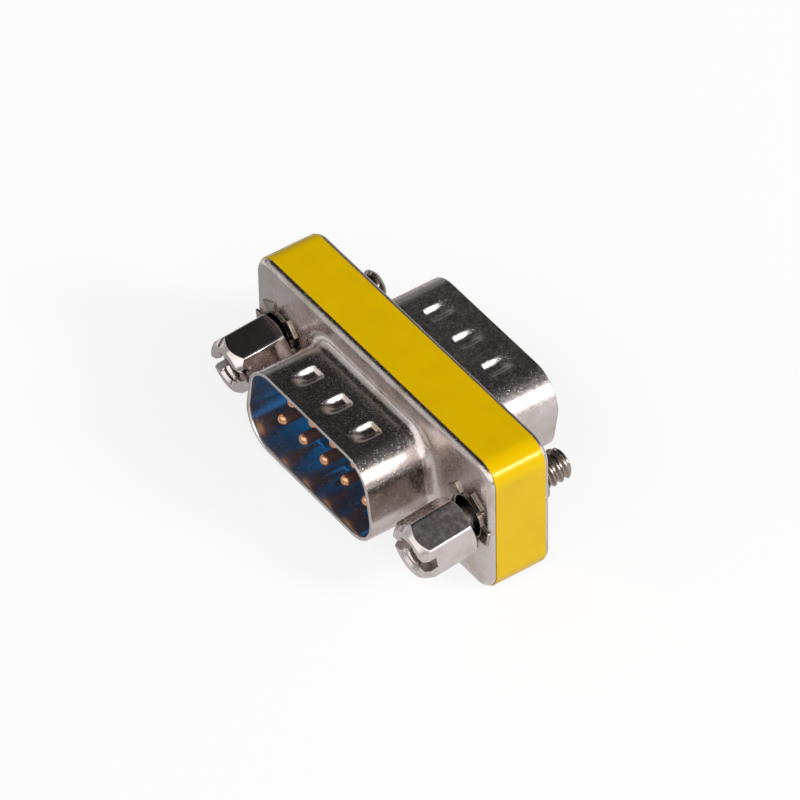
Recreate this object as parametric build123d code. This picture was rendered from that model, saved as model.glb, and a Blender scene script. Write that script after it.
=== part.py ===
from build123d import *
import math
import os

# Nine-pin gender changer: two drawn steel plug shells back to back, with nine
# through contacts and two captive jackscrews. All sizes are in millimetres.
# X runs along the flanges, Y from the hex-head side to the threaded side and Z up.
# The origin is under the middle of the block, on the face that it rests on.

# Drawn shells
flange_height = 12.5
flange_end = 2.905
flange_corner = 1.87
block_depth = 5.56
sheet = 0.35
rim_bend = 0.5
tray_seam = 0.04
plug_width = 16.92
plug_height = 7.5
plug_corner = 2.5
plug_slope = 10
plug_depth = 5.9
plug_root = 0.6

# Dimples pressed into the long sides of each plug
dimple_count = 3
dimple_pitch = 3.8
dimple_depth = 0.42
dimple_radius = 1.25
dimple_start = 2.95
dimple_end = 5.0

# Contacts and their rows
long_row_count = 5
short_row_count = 4
contact_pitch = 2.77
row_spacing = 2.84
pin_radius = 0.5
pin_reach = 4.77
jog_slope = 60
jog_bend = 0.6
collar_radius = 0.68
collar_width = 0.25

# Moulded insulators
insulator_side_gap = 0.575
insulator_edge = 0.6
insulator_floor = 1.28
shell_clearance = 0.05
contact_clearance = 0.02
pocket_clearance = 0.3
insulator_seam = 0.04
guide_depth = 0.3

# Hollow rivets that hold the two shells together, screw_margin out from the plug's opening
screw_margin = 4.035
rivet_bore = 1.63
rivet_wall = 0.19
rivet_bend = 0.12
petal_count = 5
petal_reach = 2.75
petal_width = 1.5
petal_corner = 0.15
rolled_head_radius = 2.2

# Captive jackscrews
hex_across_flats = 4.5
hex_corner_round = 0.3
head_length = 4.68
head_end_radius = 2.02
head_end_chamfer = 0.3
head_back_inset = 0.06
head_back_fall = 0.25
slot_width = 0.95
slot_depth = 1.05
tapped_radius = 1.13
tapped_depth = 3.9
tapped_mouth = 0.3
shank_radius = 1.0
shank_overlap = 0.3
thread_radius = 1.42
thread_length = 2.35
thread_tip_chamfer = 0.3

# Retaining rings in the shanks
ring_groove_radius = 0.8
ring_radius = 1.8
ring_width = 0.3
ring_gap_angle = 70
ring_clearance = 0.03
ring_stop_clearance = 0.02

# How each jackscrew lies in its loose hole: the droop of its head in degrees,
# its sideways and upward shift, the gap from flange to head and the turn of its hexagon
right_droop = 6.5
right_shift = (0.0, 0.0)
right_head_gap = 0.8
right_turn = 5.5
left_droop = 4.9
left_shift = (0.28, -0.16)
left_head_gap = 0.42
left_turn = 19
right_petal_turn = 61.5
left_petal_turn = 42

# Wrap-around label
label_film = 0.08
label_glue = 0.02
label_edge = 0.37
label_joint_gap = 0.3
label_joint_place = -11.0

# How far a cutting solid reaches past what it cuts
cut_past = 1.0

# Worked-out places
mid_height = label_film + label_glue + flange_height / 2
front_face = -block_depth / 2
rear_face = block_depth / 2
screw_x = plug_width / 2 + screw_margin
flange_width = 2 * (screw_x + flange_end)
rivet_outer = rivet_bore + rivet_wall
rivet_hole = rivet_outer + rivet_bend
rivet_lip = rivet_outer + rivet_bend
insulator_width = 2 * (screw_x - rivet_outer - insulator_side_gap)
hex_corner_radius = hex_across_flats / math.sqrt(3)


def across(front, rear, outline):
    """The outline, drawn in X and Z about the block's middle, as a solid from front to rear."""
    plane = Plane(origin=(0, rear, mid_height), x_dir=(1, 0, 0), z_dir=(0, -1, 0))
    return extrude(plane * outline, rear - front)


def rod(radius, front, rear):
    """A round rod along Y on the local axis."""
    return Pos(0, (front + rear) / 2, 0) * (Rot(90, 0, 0) * Cylinder(radius, rear - front))


def turned(profile):
    """A profile in the XY plane, with X as its radius, turned about Y."""
    return revolve(profile, Axis.Y)


def half_turn(solid):
    """The front half's piece turned about X to its place in the rear half."""
    middle = Axis((0, 0, mid_height), (1, 0, 0))
    return solid.rotate(middle, 180)


def flange_outline(inset):
    return RectangleRounded(
        flange_width - 2 * inset,
        flange_height - 2 * inset,
        flange_corner - inset,
    )


def plug_outline(inset):
    """The D-shaped outline of the plug's outer skin, narrow side up, moved in by inset."""
    slant = plug_height * math.tan(math.radians(plug_slope))
    half_wide = plug_width / 2
    half_tall = plug_height / 2
    corners = [
        (-half_wide, -half_tall),
        (half_wide, -half_tall),
        (half_wide - slant, half_tall),
        (-half_wide + slant, half_tall),
    ]
    opening = Polygon(*corners, align=None)
    opening = fillet(opening.vertices(), plug_corner)
    return offset(opening, sheet - inset)


def drawn_form(inset, mouth):
    """The flange tray and plug as one solid form, its whole skin moved in by inset."""
    tray_front = front_face + inset
    tray = across(tray_front, -tray_seam / 2, flange_outline(inset))
    rim = tray.faces().sort_by(Axis.Y)[0].edges()
    bend = max(rim_bend - inset, 0)
    if bend > 0:
        tray = fillet(rim, bend)
    form = tray + across(mouth, tray_front, plug_outline(inset))
    root = [
        edge
        for edge in form.edges().filter_by_position(Axis.Y, tray_front - 0.01, tray_front + 0.01)
        if edge.bounding_box().size.Z < plug_height + 2 * sheet
        and edge.bounding_box().size.X < plug_width + 2 * sheet
        and abs(edge.center().X) < screw_x - rivet_hole
        and abs(edge.center().Z - mid_height) < plug_height / 2 + sheet
    ]
    return fillet(root, plug_root + inset)


def dimple_tool(radius, place, side):
    """A leaning rod with a round end, deepest at the flange end and fading towards the mouth."""
    surface = plug_height / 2 + sheet
    deep = (place, front_face - dimple_start, side * (surface - dimple_depth + dimple_radius))
    shallow = (place, front_face - dimple_end, side * (surface + dimple_radius))
    start = Vector(*deep)
    lean = Vector(*shallow) - start
    leaning = Plane(origin=start, z_dir=lean)
    tool = extrude(leaning * Circle(radius), 2 * lean.length) + Pos(*deep) * Sphere(radius)
    return Pos(0, 0, mid_height) * tool


def dimple_places():
    middle = (dimple_count - 1) / 2
    return [(number - middle) * dimple_pitch for number in range(dimple_count)]


def plug_shell():
    """One drawn shell: flange tray, plug wall, rivet holes and pressed dimples."""
    mouth = front_face - plug_depth
    shell = drawn_form(0, mouth) - drawn_form(sheet, mouth - plug_depth)
    inside = across(mouth, front_face, plug_outline(sheet))
    for side in (-1, 1):
        for place in dimple_places():
            shell += dimple_tool(dimple_radius + sheet, place, side) & inside
            shell -= dimple_tool(dimple_radius, place, side)
        hole = Pos(side * screw_x, 0, mid_height) * rod(rivet_hole, front_face - cut_past, 0)
        shell -= hole
    return shell


def row_places(count):
    middle = (count - 1) / 2
    return [(number - middle) * contact_pitch for number in range(count)]


def pin_places():
    """Every contact as its X place and the side of its front pin, below for the long row."""
    long_places = [(place, -1) for place in row_places(long_row_count)]
    short_places = [(place, 1) for place in row_places(short_row_count)]
    return long_places + short_places


def contact(place, side):
    """One contact: a round pin at each end and a jog between the rows in the middle."""
    row = row_spacing / 2
    low = mid_height + side * row
    high = mid_height - side * row
    corner = row / math.tan(math.radians(jog_slope))
    dome = block_depth / 2 + pin_reach - pin_radius
    path = FilletPolyline(
        (place, -dome, low),
        (place, -corner, low),
        (place, corner, high),
        (place, dome, high),
        radius=jog_bend,
    )
    start = Plane(origin=(place, -dome, low), z_dir=(0, 1, 0))
    wire = sweep(start * Circle(pin_radius), path=path)
    wire += Pos(place, -dome, low) * Sphere(pin_radius)
    wire += Pos(place, dome, high) * Sphere(pin_radius)
    seat = block_depth / 2 - insulator_floor
    front_collar = Pos(place, 0, low) * rod(collar_radius, -seat, -seat + collar_width)
    rear_collar = Pos(place, 0, high) * rod(collar_radius, seat - collar_width, seat)
    return wire + front_collar + rear_collar


def insulator():
    """One moulded half: a D-shaped nose, a base behind the flange and a pocket for the jogs."""
    skin = sheet + shell_clearance
    body = drawn_form(skin, front_face - plug_depth)
    limits = across(front_face, -insulator_seam / 2, Rectangle(insulator_width, flange_height))
    upright = limits.edges().filter_by(Axis.Y)
    limits = fillet(upright, insulator_edge)
    body &= limits
    rows_wide = (long_row_count - 1) * contact_pitch
    reach = collar_radius + pocket_clearance
    pocket = Rectangle(rows_wide + 2 * reach, row_spacing + 2 * reach)
    body -= across(front_face + insulator_floor, 0, pocket)
    hole = pin_radius + contact_clearance
    for place, side in pin_places():
        row = mid_height + side * row_spacing / 2
        at_pin = Pos(place, 0, row)
        body -= at_pin * rod(hole, front_face - cut_past, 0)
        lead_in = Pos(0, front_face + guide_depth / 2, 0) * (
            Rot(90, 0, 0) * Cone(hole, hole + guide_depth, guide_depth)
        )
        body -= at_pin * lead_in
    return body


def petal_star():
    """The flat star of the rivet's split end: a round lip with straight-sided petals."""
    star = Circle(rivet_lip)
    half_chord = petal_width / 2
    petal = Polygon(
        (0, -half_chord), (petal_reach, -half_chord), (petal_reach, half_chord), (0, half_chord),
        align=None,
    )
    tips = petal.vertices().sort_by(Axis.X)[-2:]
    petal = fillet(tips, petal_corner)
    for number in range(petal_count):
        star += Rot(0, 0, number * 360 / petal_count) * petal
    return star


def hollow_rivet(side, petal_turn):
    """A thin tube through both flanges, with a star of petals in front and a rolled rear head."""
    lip_front = front_face - rivet_wall
    lip_rear = rear_face + rivet_wall
    outer_bend = rivet_wall + rivet_bend
    flare = petal_reach + petal_width
    with BuildSketch(Plane.XY) as section:
        with BuildLine():
            Line((rivet_bore, lip_front + outer_bend), (rivet_bore, lip_rear - outer_bend))
            RadiusArc(
                (rivet_bore, lip_rear - outer_bend),
                (rivet_bore + outer_bend, lip_rear),
                outer_bend,
            )
            Line((rivet_bore + outer_bend, lip_rear), (rolled_head_radius, lip_rear))
            Line((rolled_head_radius, lip_rear), (rolled_head_radius, rear_face))
            Line((rolled_head_radius, rear_face), (rivet_lip, rear_face))
            RadiusArc(
                (rivet_lip, rear_face),
                (rivet_outer, rear_face - rivet_bend),
                -rivet_bend,
            )
            Line((rivet_outer, rear_face - rivet_bend), (rivet_outer, front_face + rivet_bend))
            RadiusArc(
                (rivet_outer, front_face + rivet_bend),
                (rivet_lip, front_face),
                -rivet_bend,
            )
            Line((rivet_lip, front_face), (flare, front_face))
            Line((flare, front_face), (flare, lip_front))
            Line((flare, lip_front), (rivet_bore + outer_bend, lip_front))
            RadiusArc(
                (rivet_bore + outer_bend, lip_front),
                (rivet_bore, lip_front + outer_bend),
                outer_bend,
            )
        make_face()
    rivet = turned(section.sketch)
    waste = across(front_face - 2 * rivet_wall, front_face, Circle(2 * flare))
    waste -= across(front_face - 2 * rivet_wall, front_face, Rot(0, 0, petal_turn) * petal_star())
    in_place = Pos(side * screw_x, 0, 0)
    return Pos(side * screw_x, 0, mid_height) * rivet - in_place * waste


def on_screw_axis(side, droop, shift):
    """The place of a jackscrew's local axis, pivoted at the middle of its rivet."""
    across_shift, up_shift = shift
    pivot = Pos(side * screw_x + across_shift, 0, mid_height + up_shift)
    return pivot * Rot(droop, 0, 0)


def ring_front(head_back):
    """The ring's front face on the screw, where the right-hand ring's edge meets its rivet."""
    droop = math.radians(right_droop)
    stop = rear_face + rivet_wall + ring_stop_clearance
    resting = (stop + ring_radius * math.sin(droop)) / math.cos(droop)
    right_back = front_face - right_head_gap
    return head_back + resting - right_back


def hex_head(head_back, turn):
    """The hexagonal head with its chamfers, screwdriver slot and tapped hole."""
    head_front = head_back - head_length
    plane = Plane(origin=(0, head_back, 0), x_dir=(1, 0, 0), z_dir=(0, -1, 0))
    hexagon = Rot(0, 0, turn + 30) * RegularPolygon(hex_corner_radius, 6)
    hexagon = fillet(hexagon.vertices(), hex_corner_round)
    head = extrude(plane * hexagon, head_length)
    corner = hex_corner_radius
    front_slope = (hex_across_flats / 2 - head_end_radius) / head_end_chamfer
    front_fall = (corner - head_end_radius) / front_slope
    envelope = Polygon(
        (0, head_front),
        (head_end_radius, head_front),
        (corner, head_front + front_fall),
        (corner, head_back - head_back_fall),
        (hex_across_flats / 2 - head_back_inset, head_back),
        (0, head_back),
        align=None,
    )
    head &= turned(envelope)
    slot = Box(2 * corner, slot_depth, slot_width)
    slot = Pos(0, head_front + slot_depth / 2, 0) * (Rot(0, -turn, 0) * slot)
    bore = Polygon(
        (0, head_front),
        (tapped_radius + tapped_mouth, head_front),
        (tapped_radius, head_front + tapped_mouth),
        (tapped_radius, head_front + tapped_depth),
        (0, head_front + tapped_depth),
        align=None,
    )
    return head - slot - turned(bore)


def jackscrew(side, droop, shift, head_gap, turn):
    """One jackscrew: hex head, thin shank with a ring groove and the threaded end."""
    head_back = front_face - head_gap
    groove_front = ring_front(head_back) - ring_clearance
    groove_rear = groove_front + ring_width + 2 * ring_clearance
    thread_start = groove_rear + (shank_radius - ring_groove_radius)
    tip = thread_start + (thread_radius - shank_radius) + thread_length
    shank = Polygon(
        (0, head_back - shank_overlap),
        (shank_radius, head_back - shank_overlap),
        (shank_radius, groove_front),
        (ring_groove_radius, groove_front),
        (ring_groove_radius, groove_rear),
        (shank_radius, groove_rear),
        (shank_radius, thread_start),
        (thread_radius, thread_start + (thread_radius - shank_radius)),
        (thread_radius, tip - thread_tip_chamfer),
        (thread_radius - thread_tip_chamfer, tip),
        (0, tip),
        align=None,
    )
    screw = hex_head(head_back, turn) + turned(shank)
    return on_screw_axis(side, droop, shift) * screw


def retaining_ring(side, droop, shift, head_gap):
    """The split ring in the shank's groove that keeps the screw captive."""
    front = ring_front(front_face - head_gap)
    rear = front + ring_width
    ring = rod(ring_radius, front, rear)
    ring -= rod(ring_groove_radius + ring_clearance, front - cut_past, rear + cut_past)
    half_gap = math.radians(ring_gap_angle / 2)
    reach = 2 * ring_radius
    gap = Polygon(
        (0, 0),
        (-reach * math.sin(half_gap), -reach * math.cos(half_gap)),
        (reach * math.sin(half_gap), -reach * math.cos(half_gap)),
        align=None,
    )
    plane = Plane(origin=(0, rear + cut_past, 0), x_dir=(1, 0, 0), z_dir=(0, -1, 0))
    ring -= extrude(plane * gap, ring_width + 2 * cut_past)
    return on_screw_axis(side, droop, shift) * ring


def label_band():
    """The film that wraps the trays' rims, open at its joint under the block."""
    inside = flange_outline(-label_glue)
    outside = flange_outline(-label_glue - label_film)
    edge = block_depth / 2 - label_edge
    band = across(-edge, edge, outside - inside)
    low = mid_height - flange_height / 2
    joint = Pos(label_joint_place, 0, low) * Box(label_joint_gap, block_depth, flange_corner)
    return band - joint


def build_nodes():
    front_shell = plug_shell()
    front_insulator = insulator()
    nodes = {
        "front_shell": front_shell,
        "rear_shell": half_turn(front_shell),
        "front_insulator": front_insulator,
        "rear_insulator": half_turn(front_insulator),
        "label_band": label_band(),
        "rivet_right": hollow_rivet(1, right_petal_turn),
        "rivet_left": hollow_rivet(-1, left_petal_turn),
        "jackscrew_right": jackscrew(1, right_droop, right_shift, right_head_gap, right_turn),
        "jackscrew_left": jackscrew(-1, left_droop, left_shift, left_head_gap, left_turn),
        "retaining_ring_right": retaining_ring(1, right_droop, right_shift, right_head_gap),
        "retaining_ring_left": retaining_ring(-1, left_droop, left_shift, left_head_gap),
    }
    for number, (place, side) in enumerate(pin_places(), start=1):
        nodes[f"contact_{number}"] = contact(place, side)
    return nodes


os.makedirs("parts", exist_ok=True)
for name, solid in build_nodes().items():
    solid.label = name
    export_step(solid, f"parts/{name}.step")
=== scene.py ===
import math

import bmesh
import bpy
import numpy as np
from mathutils import Matrix, Vector


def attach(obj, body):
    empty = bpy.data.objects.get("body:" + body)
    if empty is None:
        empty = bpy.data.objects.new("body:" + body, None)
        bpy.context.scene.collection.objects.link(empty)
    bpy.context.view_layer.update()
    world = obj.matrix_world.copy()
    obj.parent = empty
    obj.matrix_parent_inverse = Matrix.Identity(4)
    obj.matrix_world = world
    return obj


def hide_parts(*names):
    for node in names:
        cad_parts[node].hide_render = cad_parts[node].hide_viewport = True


# Gender changer: two drawn plug shells back to back, hollow rivets, two captive
# jackscrews, nine pins and a bare yellow wrap. Shapes are worked out in millimetres
# and degrees. X runs along the flanges, Y from the hex heads to the threads, Z up.

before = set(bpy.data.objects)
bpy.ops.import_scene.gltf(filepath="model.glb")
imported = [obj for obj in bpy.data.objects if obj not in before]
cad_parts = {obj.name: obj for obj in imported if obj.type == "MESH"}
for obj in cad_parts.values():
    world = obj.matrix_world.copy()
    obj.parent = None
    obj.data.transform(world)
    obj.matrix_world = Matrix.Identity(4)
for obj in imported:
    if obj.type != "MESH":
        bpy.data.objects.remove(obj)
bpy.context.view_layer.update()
print("frame loaded with", len(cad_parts), "CAD nodes")

mm = 0.001                  # every shape below is in millimetres until it becomes a mesh
midHeight = 6.35            # height of the plugs' and screws' middle
flangeFace = -2.78          # front face of the front flange
screwPlace = 12.495         # the screws' distance from the middle


# Meshes from grids

def gridQuads(rows, columns, closeRows, closeColumns):
    # a quad from each point to its next row and next column, wrapping round where closed
    row = np.arange(rows if closeRows else rows - 1)
    column = np.arange(columns if closeColumns else columns - 1)
    row, column = np.meshgrid(row, column, indexing="ij")
    nextRow = (row + 1) % rows
    nextColumn = (column + 1) % columns
    corners = [
        row * columns + column,
        row * columns + nextColumn,
        nextRow * columns + nextColumn,
        nextRow * columns + column,
    ]
    return np.stack(corners, axis=-1).reshape(-1, 4)


def meshFromGrid(name, points, closeRows=False, closeColumns=False):
    # points has rows, columns and x y z; the seams and poles are merged and faces turned outward
    rows, columns = points.shape[:2]
    quads = gridQuads(rows, columns, closeRows, closeColumns)
    mesh = bpy.data.meshes.new(name)
    mesh.vertices.add(rows * columns)
    mesh.vertices.foreach_set("co", (points * mm).astype(np.float32).ravel())
    mesh.loops.add(quads.size)
    mesh.loops.foreach_set("vertex_index", quads.astype(np.int32).ravel())
    mesh.polygons.add(len(quads))
    mesh.polygons.foreach_set("loop_start", np.arange(0, quads.size, 4, dtype=np.int32))
    mesh.update(calc_edges=True)
    work = bmesh.new()
    work.from_mesh(mesh)
    bmesh.ops.remove_doubles(work, verts=work.verts, dist=1e-4 * mm)
    bmesh.ops.recalc_face_normals(work, faces=work.faces)
    work.to_mesh(mesh)
    work.free()
    piece = bpy.data.objects.new(name, mesh)
    bpy.context.scene.collection.objects.link(piece)
    return piece


def cutAway(piece, cutter):
    # takes the cutter's space out of the piece, then throws the cutter away
    change = piece.modifiers.new("cut", "BOOLEAN")
    change.operation = "DIFFERENCE"
    change.solver = "EXACT"
    change.object = cutter
    bpy.context.view_layer.update()
    ready = piece.evaluated_get(bpy.context.evaluated_depsgraph_get())
    cut = bpy.data.meshes.new_from_object(ready)
    piece.modifiers.remove(change)
    old = piece.data
    piece.data = cut
    bpy.data.meshes.remove(old)
    bpy.data.objects.remove(cutter)


def smoothUnder(piece, angle):
    # smooth shading, with edges sharper than the angle kept crisp
    piece.data.shade_smooth()
    piece.data.set_sharp_from_angle(angle=math.radians(angle))


def finishPiece(piece, material, body, nodeName):
    # the piece gets its finish and stands in for the CAD node
    piece.data.materials.clear()
    piece.data.materials.append(material)
    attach(piece, body)
    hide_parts(nodeName)


def inside(start, end, count):
    # evenly spaced values between start and end, without either
    return np.linspace(start, end, count + 2)[1:-1]


def arc(start, end, count):
    # angles in radians from start to end, both in degrees
    return np.radians(np.linspace(start, end, count))


def between(start, end, count):
    # evenly spaced values from start to end, without the end
    return np.linspace(start, end, count, endpoint=False)


def roundedPath(corners, radius, sideCounts, cornerCount):
    # a rounded polygon as points and outward normals: straight sides, then an arc at each corner
    corners = [np.array(corner, float) for corner in corners]
    total = len(corners)
    centres = []
    sideNormals = []
    for number in range(total):
        here = corners[number]
        along = corners[(number + 1) % total] - here
        along = along / np.linalg.norm(along)
        sideNormals.append(np.array([along[1], -along[0]]))
    for number in range(total):
        before = sideNormals[number - 1]
        after = sideNormals[number]
        middle = (before + after) / np.linalg.norm(before + after)
        centres.append(corners[number] - middle * radius / (middle @ after))
    places = []
    normals = []
    for number in range(total):
        after = (number + 1) % total
        normal = sideNormals[number]
        share = between(0, 1, sideCounts[number])[:, None]
        start = centres[number] + radius * normal
        end = centres[after] + radius * normal
        places.append(start * (1 - share) + end * share)
        normals.append(np.repeat(normal[None], len(share), axis=0))
        first = math.atan2(normal[1], normal[0])
        following = sideNormals[after]
        turn = (math.atan2(following[1], following[0]) - first) % (2 * math.pi)
        angle = first + between(0, turn, cornerCount)
        facing = np.stack([np.cos(angle), np.sin(angle)], axis=-1)
        places.append(centres[after] + radius * facing)
        normals.append(facing)
    return np.concatenate(places), np.concatenate(normals)


# Materials

def newMaterial(name, colour, metallic, roughness):
    material = bpy.data.materials.new(name)
    material.use_nodes = True
    shader = material.node_tree.nodes["Principled BSDF"]
    shader.inputs["Base Color"].default_value = (*colour, 1)
    shader.inputs["Metallic"].default_value = metallic
    shader.inputs["Roughness"].default_value = roughness
    return material, material.node_tree, shader


def noiseOn(tree, perMm, detail):
    # noise that sits on the object, with perMm features in each millimetre
    place = tree.nodes.new("ShaderNodeTexCoord")
    noise = tree.nodes.new("ShaderNodeTexNoise")
    noise.inputs["Scale"].default_value = perMm / mm
    noise.inputs["Detail"].default_value = detail
    tree.links.new(place.outputs["Object"], noise.inputs["Vector"])
    return noise.outputs["Fac"]


def alongPlug(tree):
    # the object's own y, which runs from the front plug's mouth to the rear one's
    place = tree.nodes.new("ShaderNodeTexCoord")
    parts = tree.nodes.new("ShaderNodeSeparateXYZ")
    tree.links.new(place.outputs["Object"], parts.inputs[0])
    return parts.outputs["Y"]


def rangeOn(tree, value, low, high, toLow, toHigh):
    remap = tree.nodes.new("ShaderNodeMapRange")
    remap.inputs["From Min"].default_value = low
    remap.inputs["From Max"].default_value = high
    remap.inputs["To Min"].default_value = toLow
    remap.inputs["To Max"].default_value = toHigh
    tree.links.new(value, remap.inputs["Value"])
    return remap.outputs["Result"]


def spotsOn(tree, noise, toLow=0, toHigh=1):
    # noise is: features per mm, detail, and the two values stretched to toLow and toHigh
    perMm, detail, low, high = noise
    return rangeOn(tree, noiseOn(tree, perMm, detail), low, high, toLow, toHigh)


def mathOn(tree, operation, *values):
    # values are numbers or sockets
    step = tree.nodes.new("ShaderNodeMath")
    step.operation = operation
    for socket, value in zip(step.inputs, values):
        if isinstance(value, (int, float)):
            socket.default_value = value
        else:
            tree.links.new(value, socket)
    return step.outputs[0]


def leanOn(tree, place, direction):
    # how far a place or a direction of view lies towards the given direction
    lean = tree.nodes.new("ShaderNodeVectorMath")
    lean.operation = "DOT_PRODUCT"
    lean.inputs[1].default_value = direction
    tree.links.new(place, lean.inputs[0])
    return lean.outputs["Value"]


def mixOn(tree, factor, first, second):
    # first and second are colours or sockets
    mix = tree.nodes.new("ShaderNodeMix")
    mix.data_type = "RGBA"
    tree.links.new(factor, mix.inputs["Factor"])
    for name, colour in (("A", first), ("B", second)):
        socket = [s for s in mix.inputs if s.name == name and s.type == "RGBA"][0]
        if isinstance(colour, tuple):
            socket.default_value = (*colour, 1)
        else:
            tree.links.new(colour, socket)
    return [s for s in mix.outputs if s.type == "RGBA"][0]


def bumpOn(tree, height, depthMm, under=None):
    bump = tree.nodes.new("ShaderNodeBump")
    bump.inputs["Distance"].default_value = depthMm * mm
    tree.links.new(height, bump.inputs["Height"])
    if under is not None:
        tree.links.new(under, bump.inputs["Normal"])
    return bump.outputs["Normal"]


def grainOn(tree, noise, depthMm, under=None):
    # noise is: features per mm and detail
    return bumpOn(tree, noiseOn(tree, *noise), depthMm, under)


def dress(tree, shader, colour, rough, normal=None):
    links = {"Base Color": colour, "Roughness": rough, "Normal": normal}
    for name, socket in links.items():
        if socket is not None:
            tree.links.new(socket, shader.inputs[name])


# each noise is: features per mm, detail, and the two values between which it takes effect
metalNoise = {
    "stains": (0.5, 4, 0.45, 0.72),
    "patches": (3.5, 4, 0.35, 0.7),
    "waves": (1.8, 3),
    "grains": (8, 3),
    "specks": (6, 2, 0.62, 0.70),
}

shellFinish = {
    "colour": (0.62, 0.55, 0.535),
    "tarnish": (0.46, 0.39, 0.32),
    "smooth": 0.17,
    "rough": 0.30,
    "waves": 0.010,         # orange peel left by drawing, in mm
    "grains": 0.0055,       # fine plated grain, in mm
    "specks": 0.009,        # sparse plated nodules, in mm
}

rearShellFinish = {
    "colour": (0.60, 0.535, 0.52),
    "tarnish": (0.45, 0.385, 0.35),
    "smooth": 0.26,
    "rough": 0.40,
    "waves": 0.008,
    "grains": 0.008,
    "specks": 0.011,
}

shellInsideFinish = {
    "colour": (0.78, 0.74, 0.74),
    "tarnish": (0.66, 0.61, 0.60),
    "smooth": 0.20,
    "rough": 0.28,
    "waves": 0.003,
    "grains": 0.0004,
    "specks": 0,
}


def makeShellMetal(name, look):
    material, tree, shader = newMaterial(name, look["colour"], 1, look["smooth"])
    colour = mixOn(tree, spotsOn(tree, metalNoise["stains"]), look["colour"], look["tarnish"])
    rough = spotsOn(tree, metalNoise["patches"], look["smooth"], look["rough"])
    waves = grainOn(tree, metalNoise["waves"], look["waves"])
    grain = grainOn(tree, metalNoise["grains"], look["grains"], waves)
    nodules = bumpOn(tree, spotsOn(tree, metalNoise["specks"]), look["specks"], grain)
    dress(tree, shader, colour, rough, nodules)
    return material


screwFinish = {
    "colour": (0.64, 0.57, 0.555),
    "dulled": (0.52, 0.455, 0.43),
    "smooth": {"right": 0.17, "left": 0.07},
    "rough": {"right": 0.34, "left": 0.16},     # the right screw is the more fogged
    # painted shade: the thread behind the flanges is darkened, standing in for the dark
    # surroundings it mirrors
    "threadPaintedShade": (0.30, 0.25, 0.22),
    "paintedShadeFrom": (1.0, 2.0),                   # where the painted shade comes in along y, in mm
    "waves": 0.004,
    "grains": 0.0008,
    "wornNoise": (0.8, 4, 0.45, 0.75),
    "fogNoise": (3, 3, 0.32, 0.68),
    "waveNoise": (1.2, 3),
    "grainNoise": (7, 2),
}


def makeScrewNickel(sideName):
    look = screwFinish
    smooth = look["smooth"][sideName]
    material, tree, shader = newMaterial("jackscrewNickel_" + sideName, look["colour"], 1, smooth)
    colour = mixOn(tree, spotsOn(tree, look["wornNoise"]), look["colour"], look["dulled"])
    start, end = look["paintedShadeFrom"]
    # painted shade: the screw darkens towards its thread behind the flanges
    inPaintedShade = rangeOn(tree, alongPlug(tree), start * mm, end * mm, 0, 1)
    colour = mixOn(tree, inPaintedShade, colour, look["threadPaintedShade"])
    rough = spotsOn(tree, look["fogNoise"], smooth, look["rough"][sideName])
    waves = grainOn(tree, look["waveNoise"], look["waves"])
    dress(tree, shader, colour, rough, grainOn(tree, look["grainNoise"], look["grains"], waves))
    return material


rivetFinish = {
    "colour": (0.42, 0.37, 0.32),
    "tarnish": (0.24, 0.20, 0.17),
    "smooth": 0.15,
    "rough": 0.32,
    "grains": 0.003,
    "tarnishNoise": (1.6, 3, 0.4, 0.7),
    "roughNoise": (4, 2, 0.3, 0.7),
    "grainNoise": (6, 2),
}


def makeRivetPlate():
    look = rivetFinish
    material, tree, shader = newMaterial("rivetPlate", look["colour"], 1, look["smooth"])
    colour = mixOn(tree, spotsOn(tree, look["tarnishNoise"]), look["colour"], look["tarnish"])
    rough = spotsOn(tree, look["roughNoise"], look["smooth"], look["rough"])
    dress(tree, shader, colour, rough, grainOn(tree, look["grainNoise"], look["grains"]))
    return material


ringFinish = {
    "colour": (0.42, 0.41, 0.40),
    "oiled": (0.25, 0.24, 0.23),
    "smooth": 0.25,
    "rough": 0.4,
    "oilNoise": (3, 3),
    "roughNoise": (5, 2, 0.3, 0.7),
}


def makeRingSteel():
    look = ringFinish
    material, tree, shader = newMaterial("springRingSteel", look["colour"], 1, look["smooth"])
    colour = mixOn(tree, noiseOn(tree, *look["oilNoise"]), look["colour"], look["oiled"])
    rough = spotsOn(tree, look["roughNoise"], look["smooth"], look["rough"])
    dress(tree, shader, colour, rough)
    return material


pinFinish = {
    "colour": (0.76, 0.41, 0.23),
    "thin": (0.58, 0.30, 0.17),
    "paintedShadeBrown": (0.34, 0.17, 0.12),        # painted shade: dark brown behind the gilt tip, where the pin lies deep in the plug
    "dull": 0.5,
    "smooth": 0.16,
    "giltFrom": (7.14, 7.26),           # distance from the middle plane, in mm
    "grains": 0.002,
    "thinNoise": (2.5, 3, 0.4, 0.7),
    "grainNoise": (9, 2),
}


def makePinGilt():
    look = pinFinish
    material, tree, shader = newMaterial("giltPin", look["colour"], 1, look["smooth"])
    gilt = mixOn(tree, spotsOn(tree, look["thinNoise"]), look["colour"], look["thin"])
    away = mathOn(tree, "ABSOLUTE", alongPlug(tree))
    low, high = look["giltFrom"]
    atTip = rangeOn(tree, away, low * mm, high * mm, 0, 1)
    # painted shade: the pin turns dark brown behind its gilt tip
    colour = mixOn(tree, atTip, look["paintedShadeBrown"], gilt)
    rough = rangeOn(tree, away, low * mm, high * mm, look["dull"], look["smooth"])
    dress(tree, shader, colour, rough, grainOn(tree, look["grainNoise"], look["grains"]))
    return material


bluePlasticFinish = {
    "colour": (0.008, 0.32, 0.88),
    "deep": (0.006, 0.27, 0.80),
    "glow": (0.0, 0.32, 0.75),      # painted glow, standing in for light let through the translucent plastic
    "paintedGlowShare": 0.12,
    "smooth": 0.3,
    "rough": 0.45,
    "grains": 0.004,
    "deepNoise": (1.2, 3),
    "roughNoise": (4, 2, 0.3, 0.7),
    "grainNoise": (5, 2),
}


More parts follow.
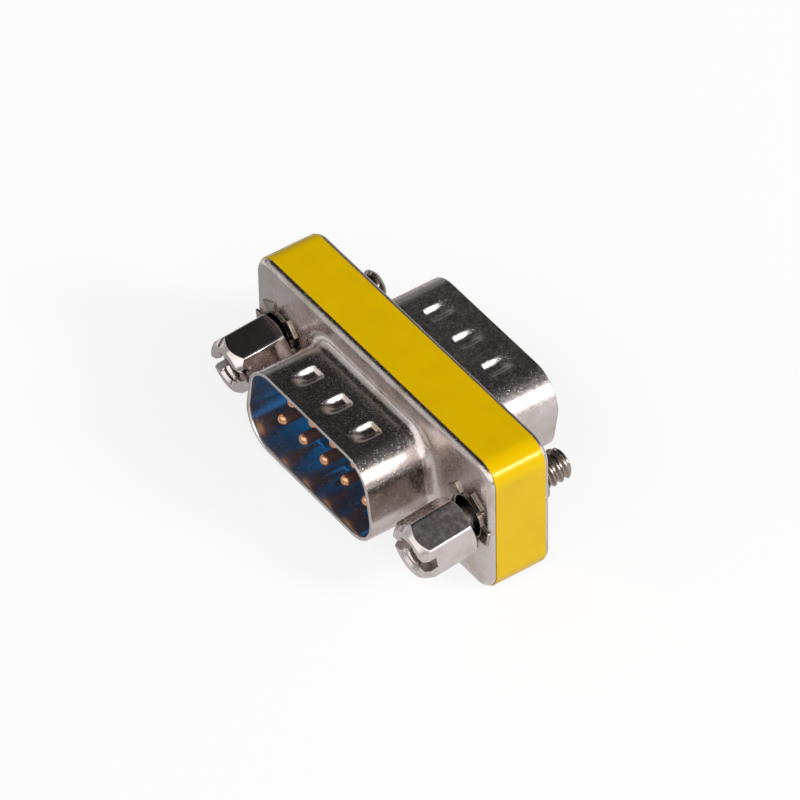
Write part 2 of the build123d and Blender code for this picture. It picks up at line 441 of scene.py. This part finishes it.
def makeBluePlastic():
    look = bluePlasticFinish
    material, tree, shader = newMaterial("mouldedBlue", look["colour"], 0, look["smooth"])
    colour = mixOn(tree, noiseOn(tree, *look["deepNoise"]), look["colour"], look["deep"])
    rough = spotsOn(tree, look["roughNoise"], look["smooth"], look["rough"])
    dress(tree, shader, colour, rough, grainOn(tree, look["grainNoise"], look["grains"]))
    # painted glow: the plastic gives off a little blue light of its own
    shader.inputs["Emission Color"].default_value = (*look["glow"], 1)
    shader.inputs["Emission Strength"].default_value = look["paintedGlowShare"]
    return material


labelFinish = {
    "colour": (0.83, 0.525, 0.0),
    "worn": (0.78, 0.49, 0.001),
    "speck": (0.55, 0.32, 0.004),
    "smooth": 0.07,
    "rough": 0.12,
    "ripple": 0.0012,
    "shine": 0.36,          # the film mirrors less than bare plastic, and yellower
    "shineColour": (1.0, 0.95, 0.4),
    "wornNoise": (0.35, 4, 0.4, 0.7),
    "speckNoise": (5, 2, 0.74, 0.80),
    "roughNoise": (3, 3, 0.3, 0.7),
    "rippleNoise": (1.5, 2),
}


def makeYellowFilm():
    look = labelFinish
    material, tree, shader = newMaterial("yellowFilm", look["colour"], 0, look["smooth"])
    shader.inputs["Specular IOR Level"].default_value = look["shine"]
    shader.inputs["Specular Tint"].default_value = (*look["shineColour"], 1)
    colour = mixOn(tree, spotsOn(tree, look["wornNoise"]), look["colour"], look["worn"])
    colour = mixOn(tree, spotsOn(tree, look["speckNoise"]), colour, look["speck"])
    rough = spotsOn(tree, look["roughNoise"], look["smooth"], look["rough"])
    dress(tree, shader, colour, rough, grainOn(tree, look["rippleNoise"], look["ripple"]))
    return material


materials = {
    "shell": makeShellMetal("drawnShellPlate", shellFinish),
    "rearShell": makeShellMetal("foggedShellPlate", rearShellFinish),
    "shellInside": makeShellMetal("plugInsidePlate", shellInsideFinish),
    "screw_right": makeScrewNickel("right"),
    "screw_left": makeScrewNickel("left"),
    "rivet": makeRivetPlate(),
    "ring": makeRingSteel(),
    "pin": makePinGilt(),
    "plastic": makeBluePlastic(),
    "label": makeYellowFilm(),
}
print("materials made:", len(materials))


# Drawn shells

shell = {
    "sheet": 0.35,
    "flangeSize": (30.8, 12.5),
    "flangeCorner": 1.87,
    "rimBend": 0.5,
    "seam": 0.02,           # half the slit between the two shells' rims
    "plugSize": (16.92, 7.36),
    "plugDrop": 0.07,       # the plug sits this much towards its wide side
    "plugCorner": 2.5,
    "plugSlope": 10,
    "plugDepth": 5.9,
    "root": 0.95,
    "mouthRound": 0.10,
    "mouthFlare": (0.10, 0.3),      # the inner edge's rounding, across the sheet and into the plug
    "holeRadius": 1.94,
    "holeReach": 1,         # the cutter's half length
    "crease": 40,           # edges sharper than this stay crisp
    "longSideCount": 190,
    "shortSideCount": 26,
    "cornerCount": 24,
    "holeCount": 72,
}

# points in each stretch of the sheet's section, from the mouth round and back
shellCounts = {
    "lip": 6,
    "wall": 64,
    "root": 16,
    "flange": 6,
    "rim": 8,
    "rimInside": 4,
    "flangeInside": 3,
    "rootInside": 8,
    "wallInside": 34,
    "flare": 9,
}

dimple = {
    "places": (-3.8, 0.0, 3.8),
    "depth": 0.40,
    "steepSide": (-0.72, -0.17),    # where each slope starts and ends, from the dimple's middle
    "softSide": (1.15, 0.25),
    "insideShare": 0.3,             # the sheet's inner side bulges less
    "steepEnd": (2.22, 2.42),       # the same along the plug, from the flange face
    "softEnd": (4.9, 3.2),
}


def outline(corners, radius, longSideCount):
    # longSideCount points go on the first and third side
    counts = [longSideCount, shell["shortSideCount"]] * 2
    return roundedPath(corners, radius, counts, shell["cornerCount"])


def plugPath():
    # the opening's D, narrow side up, counter-clockwise from the wide side's left end
    wide, tall = shell["plugSize"]
    slant = tall * math.tan(math.radians(shell["plugSlope"]))
    below = -tall / 2 - shell["plugDrop"]
    corners = [
        (-wide / 2, below),
        (wide / 2, below),
        (wide / 2 - slant, below + tall),
        (-wide / 2 + slant, below + tall),
    ]
    return outline(corners, shell["plugCorner"], shell["longSideCount"])


def flangePath(longSideCount):
    wide, tall = shell["flangeSize"]
    corners = [
        (-wide / 2, -tall / 2),
        (wide / 2, -tall / 2),
        (wide / 2, tall / 2),
        (-wide / 2, tall / 2),
    ]
    return outline(corners, shell["flangeCorner"], longSideCount)


def shellProfile():
    # the sheet's closed section as rows of: distance out from the plug's opening, distance
    # in from the flange's edge, share of the flange's outline, and y
    sheet = shell["sheet"]
    bend = shell["rimBend"]
    root = shell["root"]
    lip = shell["mouthRound"]
    flare, flareDeep = shell["mouthFlare"]
    mouth = flangeFace - shell["plugDepth"]
    toe = sheet + root
    count = shellCounts
    rows = []

    def add(out, inward, share, y):
        out, inward, share, y = np.broadcast_arrays(out, inward, share, y)
        rows.append(np.stack([out, inward, share, y], axis=-1).reshape(-1, 4))

    turn = arc(0, 90, count["lip"])
    add(sheet - lip + lip * np.sin(turn), bend, 0, mouth + lip - lip * np.cos(turn))
    add(sheet, bend, 0, inside(mouth + lip, flangeFace - root, count["wall"]))
    turn = arc(0, 90, count["root"])
    add(toe - root * np.cos(turn), bend, 0, flangeFace - root + root * np.sin(turn))
    add(toe, bend, inside(0, 1, count["flange"]), flangeFace)
    turn = arc(0, 90, count["rim"])
    add(toe, bend - bend * np.sin(turn), 1, flangeFace + bend - bend * np.cos(turn))
    add(toe, 0, 1, -shell["seam"])
    add(toe, sheet, 1, -shell["seam"])
    turn = arc(90, 0, count["rimInside"])
    tight = bend - sheet
    add(toe, bend - tight * np.sin(turn), 1, flangeFace + bend - tight * np.cos(turn))
    add(toe, bend, inside(1, 0, count["flangeInside"]), flangeFace + sheet)
    turn = arc(90, 0, count["rootInside"])
    add(toe - toe * np.cos(turn), bend, 0, flangeFace - root + toe * np.sin(turn))
    add(0, bend, 0, inside(flangeFace - root, mouth + flareDeep, count["wallInside"]))
    turn = arc(90, 0, count["flare"])
    add(flare - flare * np.sin(turn), bend, 0, mouth + flareDeep - flareDeep * np.cos(turn))
    return np.concatenate(rows)


def slopeDown(value, slope):
    # 0 before the slope's start and 1 past its end, smooth between: t * t * (3 - 2 * t)
    start, end = slope
    share = np.clip((value - start) / (end - start), 0, 1)
    return share ** 2 * (3 - 2 * share)


def dimpleDepth(x, y):
    # how far the wall is pressed in: steep towards the flange and on one side, soft elsewhere
    fromFlange = flangeFace - y
    along = slopeDown(fromFlange, dimple["steepEnd"]) * slopeDown(fromFlange, dimple["softEnd"])
    across = 0
    for place in dimple["places"]:
        beside = x - place
        steep = slopeDown(beside, dimple["steepSide"])
        across = across + steep * slopeDown(beside, dimple["softSide"])
    return dimple["depth"] * along * across


def shellPoints():
    # plug outline and flange outline, each moved out or in, blended by the profile's share
    plug, plugNormal = plugPath()
    rim, rimNormal = flangePath(shell["longSideCount"])
    out, inward, share, y = [value[:, None] for value in shellProfile().T]
    plug = plug[None] + plugNormal[None] * out[..., None]
    rim = rim[None] - rimNormal[None] * inward[..., None]
    flat = plug * (1 - share[..., None]) + rim * share[..., None]
    level = np.abs(plugNormal[None, :, 1]) > 0.99     # the plug's top and bottom, not its ends
    onWall = (share == 0) & (out <= shell["sheet"]) & level
    bulge = np.where(out < shell["sheet"] / 2, dimple["insideShare"], 1)
    pressed = dimpleDepth(flat[..., 0], y) * bulge * onWall
    flat = flat - plugNormal[None] * pressed[..., None]
    yGrid = np.broadcast_to(y, flat.shape[:2])
    return np.stack([flat[..., 0], yGrid, flat[..., 1]], axis=-1)


def rivetHoleCutter(side):
    # a plain round cutter through the flange, from its end circles' centres
    angle = between(0, 2 * math.pi, shell["holeCount"])[None, :]
    radius = np.array([0, shell["holeRadius"], shell["holeRadius"], 0])[:, None]
    y = np.array([-1, -1, 1, 1])[:, None] * shell["holeReach"] + flangeFace + 0 * angle
    circle = [side * screwPlace + radius * np.cos(angle), y, radius * np.sin(angle)]
    return np.stack(circle, axis=-1)


def makeShell(name, halfTurn):
    # halfTurn turns the front shell about X to the rear, with its wide side up
    def placed(points):
        turned = points * np.array([1, -1, -1]) if halfTurn else points
        return turned + np.array([0, 0, midHeight])

    piece = meshFromGrid(name, placed(shellPoints()), closeRows=True, closeColumns=True)
    for side in (-1, 1):
        cutter = meshFromGrid("holeCutter", placed(rivetHoleCutter(side)), closeColumns=True)
        cutAway(piece, cutter)
    smoothUnder(piece, shell["crease"])
    even = piece.modifiers.new("evenShading", "WEIGHTED_NORMAL")    # flat faces shade flat
    even.keep_sharp = True
    return piece


def finishInside(piece):
    # a second finish on the faces that look into a plug's mouth
    mesh = piece.data
    mesh.materials.append(materials["shellInside"])
    middles = np.empty(len(mesh.polygons) * 3)
    facings = np.empty(len(mesh.polygons) * 3)
    mesh.polygons.foreach_get("center", middles)
    mesh.polygons.foreach_get("normal", facings)
    middle = middles.reshape(-1, 3) - np.array([0, 0, midHeight * mm])
    outward = (middle * facings.reshape(-1, 3))[:, [0, 2]].sum(axis=1)
    looksIn = outward < -0.05 * mm      # the flat flange's own value rounds to about 0
    inPlug = np.abs(middle[:, 1]) > -flangeFace * mm
    mesh.polygons.foreach_set("material_index", (looksIn & inPlug).astype(np.int32))


for shellName, nodeName, finish, halfTurn in (
    ("frontShellDrawn", "front_shell", "shell", False),
    ("rearShellDrawn", "rear_shell", "rearShell", True),
):
    made = makeShell(shellName, halfTurn)
    finishPiece(made, materials[finish], "housing", nodeName)
    finishInside(made)
    print(shellName, "has", len(made.data.polygons), "faces")


# Yellow wrap, left bare

label = {
    "glue": 0.02,
    "film": 0.08,
    "edge": 2.27,           # half its width
    "edgeRound": 0.02,
    "crown": 0.012,
    "jointPlace": -11.0,
    "jointGap": 0.3,
    "crease": 50,
    "longSideCount": 60,
    "acrossCount": 24,
    "roundCount": 5,
}


def labelPoints():
    # the film's flat section, its outer face crowned a hair, carried round the flange's outline
    bottomCount = label["longSideCount"]
    places, normals = flangePath(bottomCount)
    half = label["jointGap"] / 2
    below = -shell["flangeSize"][1] / 2
    first = [(label["jointPlace"] + half, below)]
    last = [(label["jointPlace"] - half, below)]
    down = [(0, -1)]
    places = np.concatenate([first, places[bottomCount:], places[:1], last])
    normals = np.concatenate([down, normals[bottomCount:], normals[:1], down])
    edge = label["edge"]
    inner = label["glue"]
    outer = inner + label["film"]
    curl = label["edgeRound"]
    turn = arc(0, 90, label["roundCount"])
    y = np.concatenate([
        [edge],
        edge - curl + curl * np.cos(turn),
        inside(edge - curl, -edge + curl, label["acrossCount"]),
        -edge + curl - curl * np.sin(turn),
        [-edge],
    ])
    out = np.concatenate([
        [inner],
        outer - curl + curl * np.sin(turn),
        np.full(label["acrossCount"], outer),
        outer - curl + curl * np.cos(turn),
        [inner],
    ])
    out[1:-1] -= label["crown"] * (y[1:-1] / edge) ** 2
    flat = places[:, None] + normals[:, None] * out[None, :, None]
    points = np.stack([flat[..., 0], np.broadcast_to(y, flat.shape[:2]), flat[..., 1]], axis=-1)
    first = np.repeat(points[:1].mean(axis=1, keepdims=True), len(y), axis=1)
    last = np.repeat(points[-1:].mean(axis=1, keepdims=True), len(y), axis=1)
    points = np.concatenate([first, points, last])
    return points + np.array([0, 0, midHeight])


wrap = meshFromGrid("yellowWrap", labelPoints(), closeColumns=True)
smoothUnder(wrap, label["crease"])
finishPiece(wrap, materials["label"], "housing", "label_band")
print("yellow wrap made")


# Hollow rivets with star-split ends

rivet = {
    "bore": 1.63,
    "wall": 0.19,
    "bend": 0.12,
    "petals": 5,
    "petalReach": 2.75,
    "petalWidth": 1.5,
    "rearHead": 2.05,
    "edgeRound": 0.05,
    "leastSine": 1e-6,      # keeps the side's reach finite at a petal's middle
    "turns": {1: 61.5, -1: 42},
    "crease": 35,
    "columns": 360,
    "bendCount": 9,
    "petalCount": 5,
    "edgeCount": 4,
}


def starRadius(angle, turn):
    # distance from the middle to the star's edge: straight-sided petals on a round lip
    lip = rivet["bore"] + rivet["wall"] + rivet["bend"]
    step = 2 * math.pi / rivet["petals"]
    off = np.abs((angle - math.radians(turn) + step / 2) % step - step / 2)
    toEnd = rivet["petalReach"] / np.cos(off)
    toSide = rivet["petalWidth"] / 2 / np.maximum(np.sin(off), rivet["leastSine"])
    return np.maximum(np.minimum(toEnd, toSide), lip)


def rivetPoints(turn):
    # a closed section turned about the rivet's axis, its front lip stretched out to the star
    angle = between(0, 2 * math.pi, rivet["columns"])
    wall = rivet["wall"]
    bend = rivet["bend"]
    outerBend = wall + bend
    tube = rivet["bore"] + wall
    lip = tube + bend
    front = flangeFace - wall
    rear = -flangeFace + wall
    roundness = rivet["edgeRound"]
    rows = []

    def add(radius, star, y):
        radius, star, y = np.broadcast_arrays(radius, star, y)
        rows.append(np.stack([radius, star, y], axis=-1).reshape(-1, 3))

    quarter = arc(90, 0, rivet["bendCount"])
    add(lip - outerBend * np.sin(quarter), 0, front + outerBend - outerBend * np.cos(quarter))
    add(lip, inside(0, 1, rivet["petalCount"]), front)
    quarter = arc(0, 90, rivet["edgeCount"])
    edge = lip - roundness + roundness * np.sin(quarter)
    add(edge, 1, front + roundness - roundness * np.cos(quarter))
    add(lip, 1, flangeFace)
    add(lip, 0, flangeFace)
    add(lip - bend * np.sin(quarter), 0, flangeFace + bend - bend * np.cos(quarter))
    add(tube, 0, -flangeFace - bend)
    add(lip, 0, -flangeFace)
    add(rivet["rearHead"], 0, -flangeFace)
    add(rivet["rearHead"], 0, rear - roundness)
    add(rivet["rearHead"] - roundness, 0, rear)
    quarter = arc(0, 90, rivet["bendCount"])
    add(lip - outerBend * np.sin(quarter), 0, rear - outerBend + outerBend * np.cos(quarter))
    rows = np.concatenate(rows)
    radius, star, y = [value[:, None] for value in rows.T]
    stretch = starRadius(angle, turn)[None] - lip
    reach = radius + star * stretch
    return np.stack([reach * np.cos(angle), y + 0 * reach, reach * np.sin(angle)], axis=-1)


for side, sideName in ((1, "right"), (-1, "left")):
    points = rivetPoints(rivet["turns"][side]) + np.array([side * screwPlace, 0, midHeight])
    made = meshFromGrid("starRivet_" + sideName, points, closeRows=True, closeColumns=True)
    smoothUnder(made, rivet["crease"])
    finishPiece(made, materials["rivet"], "housing", "rivet_" + sideName)
print("rivets made")


# Jackscrews

screw = {
    "acrossFlats": 4.5,
    "cornerRound": 0.3,
    "headLength": 4.68,
    "endRadius": 2.02,
    "endChamfer": 0.3,
    "backInset": 0.06,          # the head's back is chamfered this far in from the flats
    "backFall": 0.25,
    "slotWidth": 0.95,
    "slotDepth": 1.05,
    "core": 1.13,
    "crest": 1.34,
    "pitch": 0.635,
    "tappedDepth": 3.9,
    "mouthChamfer": 0.3,
    "shank": 1.0,
    "grooveRadius": 0.8,
    "ringWidth": 0.3,
    "ringClearance": 0.03,
    "ringRadius": 1.8,
    "stopClearance": 0.02,
    "threadLength": 2.0,
    "tipChamfer": 0.3,
    "soften": 0.03,             # how much the hexagon's chamfer edges are rounded
    "crease": 32,
    "threadSlope": 1.6,         # how steeply a thread's flanks rise in a turn
    "threadSink": 0.3,          # how much of the rise its flattened root swallows
    "tappedShare": 0.9,         # the tapped hole's thread is this much of the rear one's depth
    "bottomRadii": (0, 0.4, 0.8),
    "tipRadii": (0.7, 0.35, 0),
    "hexMargin": 0.02,          # the rows between the chamfers lie outside the hexagon's corners
    "slotLength": 8,
    "columns": 216,
}

# points in each stretch of the screw, from the tapped hole's bottom to the tip
screwCounts = {
    "tapped": 84,
    "mouth": 5,
    "face": 3,
    "chamfer": 26,
    "sides": 10,
    "back": 14,
    "backFace": 4,
    "shank": 8,
    "thread": 76,
}

# what holds a row's radius in
heldBy = {"nothing": 0, "hex": 1, "tapped": 2, "thread": 3}

# gap is the head's distance from the flange, shift how far the screw lies sideways and upwards
screwLays = {
    "right": {"side": 1, "droop": 6.5, "shift": (0.0, 0.0), "gap": 0.8, "turn": 5.5},
    "left": {"side": -1, "droop": 4.9, "shift": (0.28, -0.16), "gap": 0.42, "turn": 19},
}


def softLower(first, second, soften):
    # the lower of two values, with the corner between them rounded
    return (first + second - np.sqrt((first - second) ** 2 + soften ** 2)) / 2 + soften / 8


def hexRadius(angle, turn):
    # distance to a hexagon's flat at each angle, with rounded corners
    flat = screw["acrossFlats"] / 2
    roundness = screw["cornerRound"]
    cornerCentre = (flat - roundness) / math.cos(math.pi / 6)
    fromFlat = (angle - math.radians(turn) + math.pi / 6) % (math.pi / 3) - math.pi / 6
    fromCorner = math.pi / 6 - np.abs(fromFlat)
    reach = roundness ** 2 - (cornerCentre * np.sin(fromCorner)) ** 2
    onArc = cornerCentre * np.cos(fromCorner) + np.sqrt(np.clip(reach, 0, None))
    tangent = math.atan2(roundness / 2, cornerCentre + roundness * math.cos(math.pi / 6))
    return np.where(fromCorner < tangent, onArc, flat / np.cos(fromFlat))


def threadShare(angle, y):
    # 0 at the root and 1 at the crest of a right-hand thread with flattened roots and crests
    phase = (y / screw["pitch"] + angle / (2 * math.pi)) % 1
    rise = screw["threadSlope"] * np.abs(2 * phase - 1)
    return np.clip(rise - screw["threadSink"], 0, 1)


def ringFront(headBack):
    # where the ring lies on the screw: the right one rests against its rivet's rear head
    droop = math.radians(screwLays["right"]["droop"])
    stop = -flangeFace + rivet["wall"] + screw["stopClearance"]
    resting = (stop + screw["ringRadius"] * math.sin(droop)) / math.cos(droop)
    return headBack + resting - (flangeFace - screwLays["right"]["gap"])


def screwPoints(lay):
    # rows along the screw, each a circle whose radius is held in by the hexagon or a thread
    angle = between(0, 2 * math.pi, screw["columns"])
    corner = screw["acrossFlats"] / math.sqrt(3)
    flat = screw["acrossFlats"] / 2
    back = flangeFace - lay["gap"]
    front = back - screw["headLength"]
    fall = (corner - screw["endRadius"]) * screw["endChamfer"] / (flat - screw["endRadius"])
    rim = flat - screw["backInset"]
    core = screw["core"]
    count = screwCounts
    rows = []

    def add(radius, y, held="nothing"):
        radius, y, holder = np.broadcast_arrays(radius, y, heldBy[held])
        rows.append(np.stack([radius, y, holder], axis=-1).reshape(-1, 3))

    bottom = front + screw["tappedDepth"]
    deep = front + screw["mouthChamfer"]
    mouth = core + screw["mouthChamfer"]
    add(screw["bottomRadii"], bottom)
    add(core, np.linspace(bottom, deep, count["tapped"]), "tapped")
    add(np.linspace(core, mouth, count["mouth"])[1:], np.linspace(deep, front, count["mouth"])[1:])
    add(inside(mouth, screw["endRadius"], count["face"]), front, "hex")
    grow = np.linspace(0, 1, count["chamfer"])
    add(screw["endRadius"] + grow * (corner - screw["endRadius"]), front + grow * fall, "hex")
    shoulder = back - screw["backFall"]
    add(corner + screw["hexMargin"], inside(front + fall, shoulder, count["sides"]), "hex")
    grow = np.linspace(0, 1, count["back"])
    add(corner - grow * (corner - rim), shoulder + grow * screw["backFall"], "hex")
    add(np.linspace(rim, screw["shank"], count["backFace"])[1:], back)
    grooveFront = ringFront(back) - screw["ringClearance"]
    grooveRear = grooveFront + screw["ringWidth"] + 2 * screw["ringClearance"]
    add(screw["shank"], np.linspace(back, grooveFront, count["shank"])[1:])
    add(screw["grooveRadius"], np.array([grooveFront, grooveRear]))
    threadStart = grooveRear + screw["shank"] - screw["grooveRadius"]
    add(screw["shank"], np.array([grooveRear, threadStart]))
    rise = screw["crest"] - screw["shank"]
    tip = threadStart + rise + screw["threadLength"]
    y = np.linspace(threadStart, tip, count["thread"])[1:]
    envelope = np.minimum(screw["shank"] + (y - threadStart), screw["crest"])
    envelope = np.minimum(envelope, screw["crest"] - screw["tipChamfer"] + (tip - y))
    add(envelope, y, "thread")
    add(screw["tipRadii"], tip)
    radius, y, holder = [value[:, None] for value in np.concatenate(rows).T]
    hexed = softLower(radius, hexRadius(angle, lay["turn"])[None], screw["soften"])
    share = threadShare(angle[None], y)
    depth = screw["crest"] - core
    tapped = radius + depth * screw["tappedShare"] * share
    cut = np.minimum(radius, core + depth * share)
    reach = np.where(holder == heldBy["hex"], hexed, radius + 0 * angle[None])
    reach = np.where(holder == heldBy["tapped"], tapped, reach)
    reach = np.where(holder == heldBy["thread"], cut, reach)
    return np.stack([reach * np.cos(angle), y + 0 * reach, reach * np.sin(angle)], axis=-1)


def boxCutter(centre, size, turn):
    # a block as a closed ring of four sides with its ends drawn to points, turned about Y
    half = np.array(size) / 2
    ring = np.array([(-1, -1), (1, -1), (1, 1), (-1, 1)]) * half[1:]
    rows = []
    for along, shrink in ((-1, 0), (-1, 1), (1, 1), (1, 0)):
        x = np.full((len(ring), 1), along * half[0])
        rows.append(np.concatenate([x, ring * shrink], axis=1))
    points = np.stack(rows)
    turn = math.radians(turn)
    cosine, sine = math.cos(turn), math.sin(turn)
    x = points[..., 0] * cosine - points[..., 2] * sine
    z = points[..., 0] * sine + points[..., 2] * cosine
    return np.stack([x, points[..., 1], z], axis=-1) + np.array(centre)


def layScrew(points, lay):
    # droops the screw about the middle of its rivet and moves it to its place
    droop = math.radians(lay["droop"])
    cosine, sine = math.cos(droop), math.sin(droop)
    x, y, z = points[..., 0], points[..., 1], points[..., 2]
    turned = [x, y * cosine - z * sine, y * sine + z * cosine]
    sideways, upward = lay["shift"]
    pivot = np.array([lay["side"] * screwPlace + sideways, 0, midHeight + upward])
    return np.stack(turned, axis=-1) + pivot


def makeScrew(sideName):
    lay = screwLays[sideName]
    laid = layScrew(screwPoints(lay), lay)
    piece = meshFromGrid("hexJackscrew_" + sideName, laid, closeColumns=True)
    front = flangeFace - lay["gap"] - screw["headLength"]
    size = (screw["slotLength"], 2 * screw["slotDepth"], screw["slotWidth"])
    slot = layScrew(boxCutter((0, front, 0), size, lay["turn"]), lay)
    cutAway(piece, meshFromGrid("slotCutter", slot, closeColumns=True))
    smoothUnder(piece, screw["crease"])
    return piece


for sideName in screwLays:
    made = makeScrew(sideName)
    body = "screw_" + sideName
    finishPiece(made, materials[body], body, "jackscrew_" + sideName)
    print("jackscrew", sideName, "has", len(made.data.polygons), "faces")


# CAD pieces that keep their shape and get their finish here

keptFinishes = {
    "front_insulator": "plastic",
    "rear_insulator": "plastic",
    "retaining_ring_right": "ring",
    "retaining_ring_left": "ring",
}
for number in range(1, 10):
    keptFinishes["contact_" + str(number)] = "pin"
for nodeName, finish in keptFinishes.items():
    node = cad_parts[nodeName]
    node.data.materials.clear()
    node.data.materials.append(materials[finish])
print("kept CAD pieces dressed:", len(keptFinishes))


# Floor, tent and lamp

studio = {
    "floorSize": 3.0,
    "floorPaint": 0.22,
    "floorGlow": 0.80,
    "mirroredShadowLean": (0.88, 0.47),          # painted shadow: reflections see a floor that is darker where the object's shadow falls and brightens this way
    "mirroredShadowRamp": (-26, 34),             # from here to here, in mm
    "mirroredShadowShades": (0.32, 0.85),
    "mirroredShadowEnd": (-30, -55),              # and the painted shadow ends, bright again well away at the front left
    "mirroredShadowEndShade": 0.85,
    "floorRough": 0.9,
    "tentLow": 1.35,                    # brightness of the tent's walls
    "tentSide": 0.45,                   # more on the right-hand wall
    "tentLean": (-0.2, 0.3, 1.0),       # the walls reach higher at the front right
    "wallsEnd": (0.64, 0.76),           # where they fade into the dark top, along the lean
    "skirting": (0.12, 0.24),           # they are darker below, fading between these heights
    "skirtingShade": 0.12,
    "backLean": (-0.8, 0.6, 0.0),       # and darker at the back left
    "backRamp": (0.25, 0.65),
    "backShade": 0.25,
    "frontGap": (-0.602, -0.553, 0.570),    # a gap between the walls at the front left
    "frontGapEdge": (0.92, 0.97),
    "frontGapShade": 0.4,
    "topDark": 0.03,
    "topLight": 0.13,                   # the top is less dark over the right-hand side
    "topRamp": (-0.3, 0.3),
    "lampWay": (0.77, 0.413, 0.50),
    "lampAway": 0.6,
    "lampSize": (0.14, 0.125),
    "lampPower": 1.2,
}


def makeFloor():
    # pale to the camera, with a painted shadow for what the metal mirrors
    half = studio["floorSize"] / 2
    corners = [(-half, -half, 0), (half, -half, 0), (half, half, 0), (-half, half, 0)]
    mesh = bpy.data.meshes.new("studioFloor")
    mesh.from_pydata(corners, [], [(0, 1, 2, 3)])
    floor = bpy.data.objects.new("studioFloor", mesh)
    bpy.context.scene.collection.objects.link(floor)
    paint = (studio["floorPaint"],) * 3
    material, tree, shader = newMaterial("paleFloor", paint, 0, studio["floorRough"])
    shader.inputs["Specular IOR Level"].default_value = 0
    shader.inputs["Emission Color"].default_value = (1, 1, 1, 1)
    place = tree.nodes.new("ShaderNodeTexCoord")
    # painted shadow, seen only by reflections: darker towards the front left, bright again far
    # away
    lean = leanOn(tree, place.outputs["Object"], (*studio["mirroredShadowLean"], 0))
    start, end = studio["mirroredShadowRamp"]
    paintedShadow = rangeOn(tree, lean, start * mm, end * mm, *studio["mirroredShadowShades"])
    near, far = studio["mirroredShadowEnd"]
    away = rangeOn(tree, lean, far * mm, near * mm, studio["mirroredShadowEndShade"], 0)
    brighter = mathOn(tree, "MAXIMUM", paintedShadow, away)
    path = tree.nodes.new("ShaderNodeLightPath").outputs
    reflected = mathOn(tree, "MAXIMUM", path["Is Glossy Ray"], path["Is Transmission Ray"])
    shade = mathOn(tree, "MULTIPLY", reflected, brighter)
    glow = mathOn(tree, "MULTIPLY_ADD", path["Is Camera Ray"], studio["floorGlow"], shade)
    tree.links.new(glow, shader.inputs["Emission Strength"])
    mesh.materials.append(material)


def makeTent():
    # bright walls below a dark open top; white where the camera looks past the floor
    world = bpy.data.worlds.new("lightTent")
    bpy.context.scene.world = world
    world.use_nodes = True
    tree = world.node_tree
    ground = tree.nodes["Background"]
    ground.inputs["Color"].default_value = (1, 1, 1, 1)
    way = tree.nodes.new("ShaderNodeTexCoord").outputs["Generated"]
    parts = tree.nodes.new("ShaderNodeSeparateXYZ")
    tree.links.new(way, parts.inputs[0])
    low = studio["tentLow"]
    wall = rangeOn(tree, parts.outputs["X"], 0, 1, low, low + studio["tentSide"])
    behind = leanOn(tree, way, studio["backLean"])
    shade = rangeOn(tree, behind, *studio["backRamp"], 1, studio["backShade"])
    skirting = rangeOn(tree, parts.outputs["Z"], *studio["skirting"], studio["skirtingShade"], 1)
    skirted = mathOn(tree, "MULTIPLY", mathOn(tree, "MULTIPLY", wall, shade), skirting)
    fall = rangeOn(tree, leanOn(tree, way, studio["tentLean"]), *studio["wallsEnd"], 1, 0)
    topShades = (studio["topDark"], studio["topLight"])
    top = rangeOn(tree, parts.outputs["X"], *studio["topRamp"], *topShades)
    lit = mathOn(tree, "MULTIPLY_ADD", skirted, fall, top)
    ahead = leanOn(tree, way, studio["frontGap"])
    gap = rangeOn(tree, ahead, *studio["frontGapEdge"], 1, studio["frontGapShade"])
    path = tree.nodes.new("ShaderNodeLightPath")
    strength = tree.nodes.new("ShaderNodeMix")
    tree.links.new(path.outputs["Is Camera Ray"], strength.inputs[0])
    tree.links.new(mathOn(tree, "MULTIPLY", lit, gap), strength.inputs[2])
    strength.inputs[3].default_value = 1.0
    tree.links.new(strength.outputs[0], ground.inputs["Strength"])


def makeLamp():
    way = Vector(studio["lampWay"]).normalized()
    light = bpy.data.lights.new("sideSoftbox", "AREA")
    light.shape = "RECTANGLE"
    light.size, light.size_y = studio["lampSize"]
    light.energy = studio["lampPower"]
    lamp = bpy.data.objects.new("sideSoftbox", light)
    bpy.context.scene.collection.objects.link(lamp)
    middle = Vector((0, 0, midHeight * mm))
    lamp.location = middle + way * studio["lampAway"]
    lamp.rotation_euler = way.to_track_quat("Z", "Y").to_euler()
    lamp.visible_camera = False


makeFloor()
makeTent()
makeLamp()
print("studio made")


# Camera at the photograph's angle

# angles in degrees; distance, target and the lens's own lengths in mm
view = {
    "azimuth": 55.562,
    "elevation": 43.115,
    "roll": -1.163,
    "away": 569.19,
    "target": (-0.216, 0.0, 7.007),
    "lens": 337.5,
    "sensor": 36,
    "sees": (10, 10000),        # nearest and farthest
}


def makeCamera():
    turn = math.radians(view["azimuth"])
    rise = math.radians(view["elevation"])
    roll = math.radians(view["roll"])
    level = math.cos(rise)
    back = Vector((math.sin(turn) * level, -math.cos(turn) * level, math.sin(rise)))
    right = Vector((math.cos(turn), math.sin(turn), 0))
    upward = back.cross(right)
    across = right * math.cos(roll) + upward * math.sin(roll)
    over = upward * math.cos(roll) - right * math.sin(roll)
    lens = bpy.data.cameras.new("photoCamera")
    lens.sensor_width = view["sensor"]
    lens.lens = view["lens"]
    nearest, farthest = view["sees"]
    lens.clip_start = nearest * mm
    lens.clip_end = farthest * mm
    camera = bpy.data.objects.new("photoCamera", lens)
    bpy.context.scene.collection.objects.link(camera)
    place = (Vector(view["target"]) + back * view["away"]) * mm
    turned = Matrix((across, over, back)).transposed().to_4x4()
    camera.matrix_world = Matrix.Translation(place) @ turned
    bpy.context.scene.camera = camera


makeCamera()
bpy.context.scene.view_settings.view_transform = "Standard"
print("camera placed")
